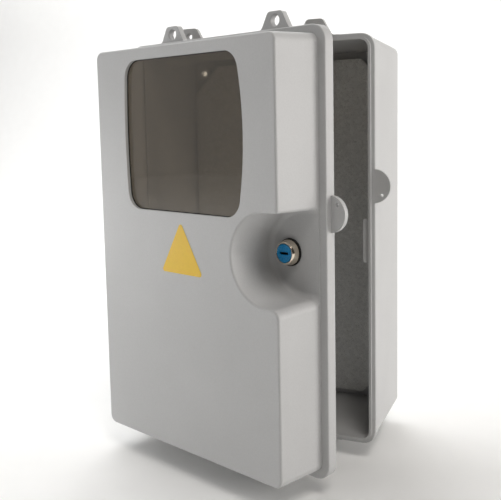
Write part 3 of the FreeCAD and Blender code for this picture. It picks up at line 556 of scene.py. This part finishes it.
def add_label():
    """Plain yellow triangle of film with round corners, stuck on the door's face."""
    face_y = closed_box("door_cover")[0].y
    side, r = LABEL_SIDE * MM, LABEL_CORNER_R * MM
    height = side * math.sqrt(3) / 2
    outline = []
    for corner, (x, z) in enumerate(((-side / 2, 0), (side / 2, 0), (0, height))):
        # A round corner of 60 degrees has its centre two radii in, and its arc turns 120 degrees
        inward = Vector((0, height / 3)) - Vector((x, z))
        centre = Vector((x, z)) + inward.normalized() * 2 * r
        start = 150 + 120 * corner
        for i in range(LABEL_CORNER_STEPS + 1):
            a = math.radians(start + 120 * i / LABEL_CORNER_STEPS)
            outline.append((centre.x + r * math.cos(a), centre.y + r * math.sin(a)))
    label = prism(outline, LABEL_THICKNESS * MM, 0)
    stand = (Matrix.Translation((LABEL_X * MM, face_y, LABEL_Z * MM))
             @ Matrix.Rotation(math.radians(90), 4, "X"))
    label.transform(DOOR_SWING @ stand)
    add_piece("blank_label", label, label_film(), "door")


add_lock_body()
add_screws("plate_screws", "base", "plate_washers", -1, Matrix.Identity(4))
add_screws("window_screws", "door", "window_washers", 1, DOOR_SWING)
add_screws("cam_screw", "lock_turn", "cam_washer", 1, DOOR_SWING)
add_label()


# Stage, light and camera

def add_floor():
    """Pale floor under the lowest point, curving up into a backdrop."""
    low = cad_box[0].z - FLOOR_GAP
    r = BACKDROP_CURVE_R
    profile = [(FLOOR_FRONT, low)]
    for i in range(BACKDROP_CURVE_STEPS + 1):
        a = math.radians(90 * i / BACKDROP_CURVE_STEPS)
        profile.append((BACKDROP_Y - r + r * math.sin(a), low + r - r * math.cos(a)))
    profile.append((BACKDROP_Y, low + BACKDROP_HEIGHT))
    bm = bmesh.new()
    rows = [[bm.verts.new((x, y, z)) for y, z in profile]
            for x in (-FLOOR_HALF_WIDTH, FLOOR_HALF_WIDTH)]
    for i in range(len(profile) - 1):
        bm.faces.new((rows[0][i], rows[1][i], rows[1][i + 1], rows[0][i + 1]))
    mesh = bpy.data.meshes.new("floor")
    bm.to_mesh(mesh)
    bm.free()
    mesh.polygons.foreach_set("use_smooth", [True] * len(mesh.polygons))
    floor = bpy.data.objects.new("floor", mesh)
    scene.collection.objects.link(floor)
    mesh.materials.append(floor_paper())


def add_light(name, place, target, size, power, tint):
    """Square soft light aimed at a point."""
    data = bpy.data.lights.new(name, "AREA")
    data.shape = "SQUARE"
    data.size = size
    data.energy = power
    data.color = hex_colour(tint)[:3]
    light = bpy.data.objects.new(name, data)
    light.location = place
    light.rotation_mode = "QUATERNION"
    light.rotation_quaternion = (Vector(target) - Vector(place)).to_track_quat("-Z", "Y")
    scene.collection.objects.link(light)


def add_world(strength):
    """Even pale surroundings."""
    world = bpy.data.worlds.new("surroundings")
    world.use_nodes = True
    tree = world.node_tree
    tree.nodes.clear()
    glow = add_node(tree, "ShaderNodeBackground",
                    {"Color": hex_colour("ffffff"), "Strength": strength})
    output = add_node(tree, "ShaderNodeOutputWorld")
    tree.links.new(glow.outputs["Background"], output.inputs["Surface"])
    scene.world = world


def add_camera():
    """Camera at the photograph's viewing angle."""
    yaw, pitch, roll = (math.radians(a) for a in (CAMERA_YAW, CAMERA_PITCH, CAMERA_ROLL))
    forward = Vector((-math.sin(yaw) * math.cos(pitch), math.cos(yaw) * math.cos(pitch),
                      -math.sin(pitch)))
    level = Vector((math.cos(yaw), math.sin(yaw), 0))
    upright = level.cross(forward)
    right = level * math.cos(roll) + upright * math.sin(roll)
    up = upright * math.cos(roll) - level * math.sin(roll)
    data = bpy.data.cameras.new("camera")
    data.sensor_width = SENSOR_WIDTH
    data.lens = FOCAL_PIXELS / IMAGE_WIDTH * SENSOR_WIDTH
    data.shift_y = (LENS_AXIS_ROW - IMAGE_HEIGHT / 2) / IMAGE_WIDTH
    camera = bpy.data.objects.new("camera", data)
    turn = Matrix((right, up, -forward)).transposed().to_4x4()
    camera.matrix_world = Matrix.Translation(Vector(CAMERA_PLACE) * MM) @ turn
    scene.collection.objects.link(camera)
    scene.camera = camera


add_floor()
for light_row in LIGHTS:
    add_light(*light_row)
add_world(SURROUNDINGS)
add_camera()
scene.view_settings.view_transform = "Standard"
